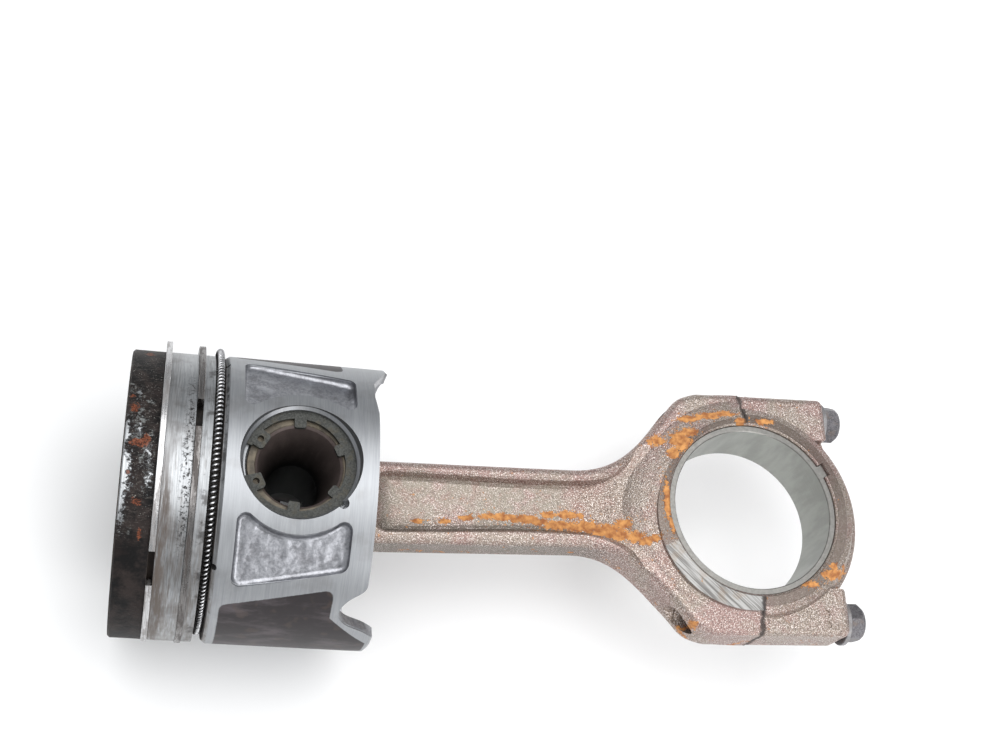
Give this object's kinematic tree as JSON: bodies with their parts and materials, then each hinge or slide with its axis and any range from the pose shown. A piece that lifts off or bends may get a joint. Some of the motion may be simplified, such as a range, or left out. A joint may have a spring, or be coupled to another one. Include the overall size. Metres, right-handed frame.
{
  "type": "piston with connecting rod",
  "caption": "Diesel engine piston with sprung-open rings and a hollow wrist pin, hinged on an I-beam connecting rod whose bolted cap and bearing shells close the big-end bore.",
  "frame": {"origin": "centre of the crank-journal bore in the rod's big end, midway through its width", "axes": "+Z along the journal bore and wrist pin; X along the cylinder axis, piston on the -X side, cap on the +X side; Y across"},
  "size_m": [0.23, 0.0895, 0.0872],
  "materials": {
    "piston_aluminium": "satin turned aluminium, carbon on the top land",
    "carrier_iron": "stained iron",
    "ring_steel": "bright worn steel",
    "ring_iron": "dark ground iron",
    "spring_steel": "oily spring wire",
    "pin_steel": "ground steel, tan oil film on the end faces",
    "clip_steel": "phosphated spring steel",
    "bush_bronze": "bronze",
    "rod_forging": "rough shot-blasted forging with rust",
    "bearing_alloy": "matte grey bearing alloy",
    "bolt_steel": "dark phosphated steel"
  },
  "bodies": {
    "rod": {"connecting_rod": "rod_forging", "rod_cap": "rod_forging", "small_end_bush": "bush_bronze", "upper_bearing_shell": "bearing_alloy", "lower_bearing_shell": "bearing_alloy", "cap_bolt_1": "bolt_steel", "cap_bolt_2": "bolt_steel"},
    "piston": {"piston": "piston_aluminium", "ring_carrier": "carrier_iron", "circlip_upper": "clip_steel", "circlip_lower": "clip_steel"},
    "wrist_pin": {"wrist_pin": "pin_steel"},
    "top_ring": {"top_compression_ring": "ring_steel"},
    "second_ring": {"second_compression_ring": "ring_iron"},
    "expander": {"oil_ring_expander": "spring_steel"}
  },
  "joints": [
    {"name": "piston_swing", "type": "hinge", "parent": "rod", "child": "piston", "pos_m": [-0.14418, -0.00579, 0], "axis": [0, 0, 1], "range_deg": [-32, 37]},
    {"name": "wrist_pin_spin", "type": "hinge", "parent": "piston", "child": "wrist_pin", "pos_m": [-0.14418, -0.00579, 0], "axis": [0, 0, 1], "continuous": true},
    {"name": "top_ring_spin", "type": "hinge", "parent": "piston", "child": "top_ring", "pos_m": [-0.14418, -0.00579, 0], "axis": [1, 0, 0], "continuous": true},
    {"name": "second_ring_spin", "type": "hinge", "parent": "piston", "child": "second_ring", "pos_m": [-0.14418, -0.00579, 0], "axis": [1, 0, 0], "continuous": true},
    {"name": "expander_spin", "type": "hinge", "parent": "piston", "child": "expander", "pos_m": [-0.14418, -0.00579, 0], "axis": [1, 0, 0], "continuous": true}
  ]
}
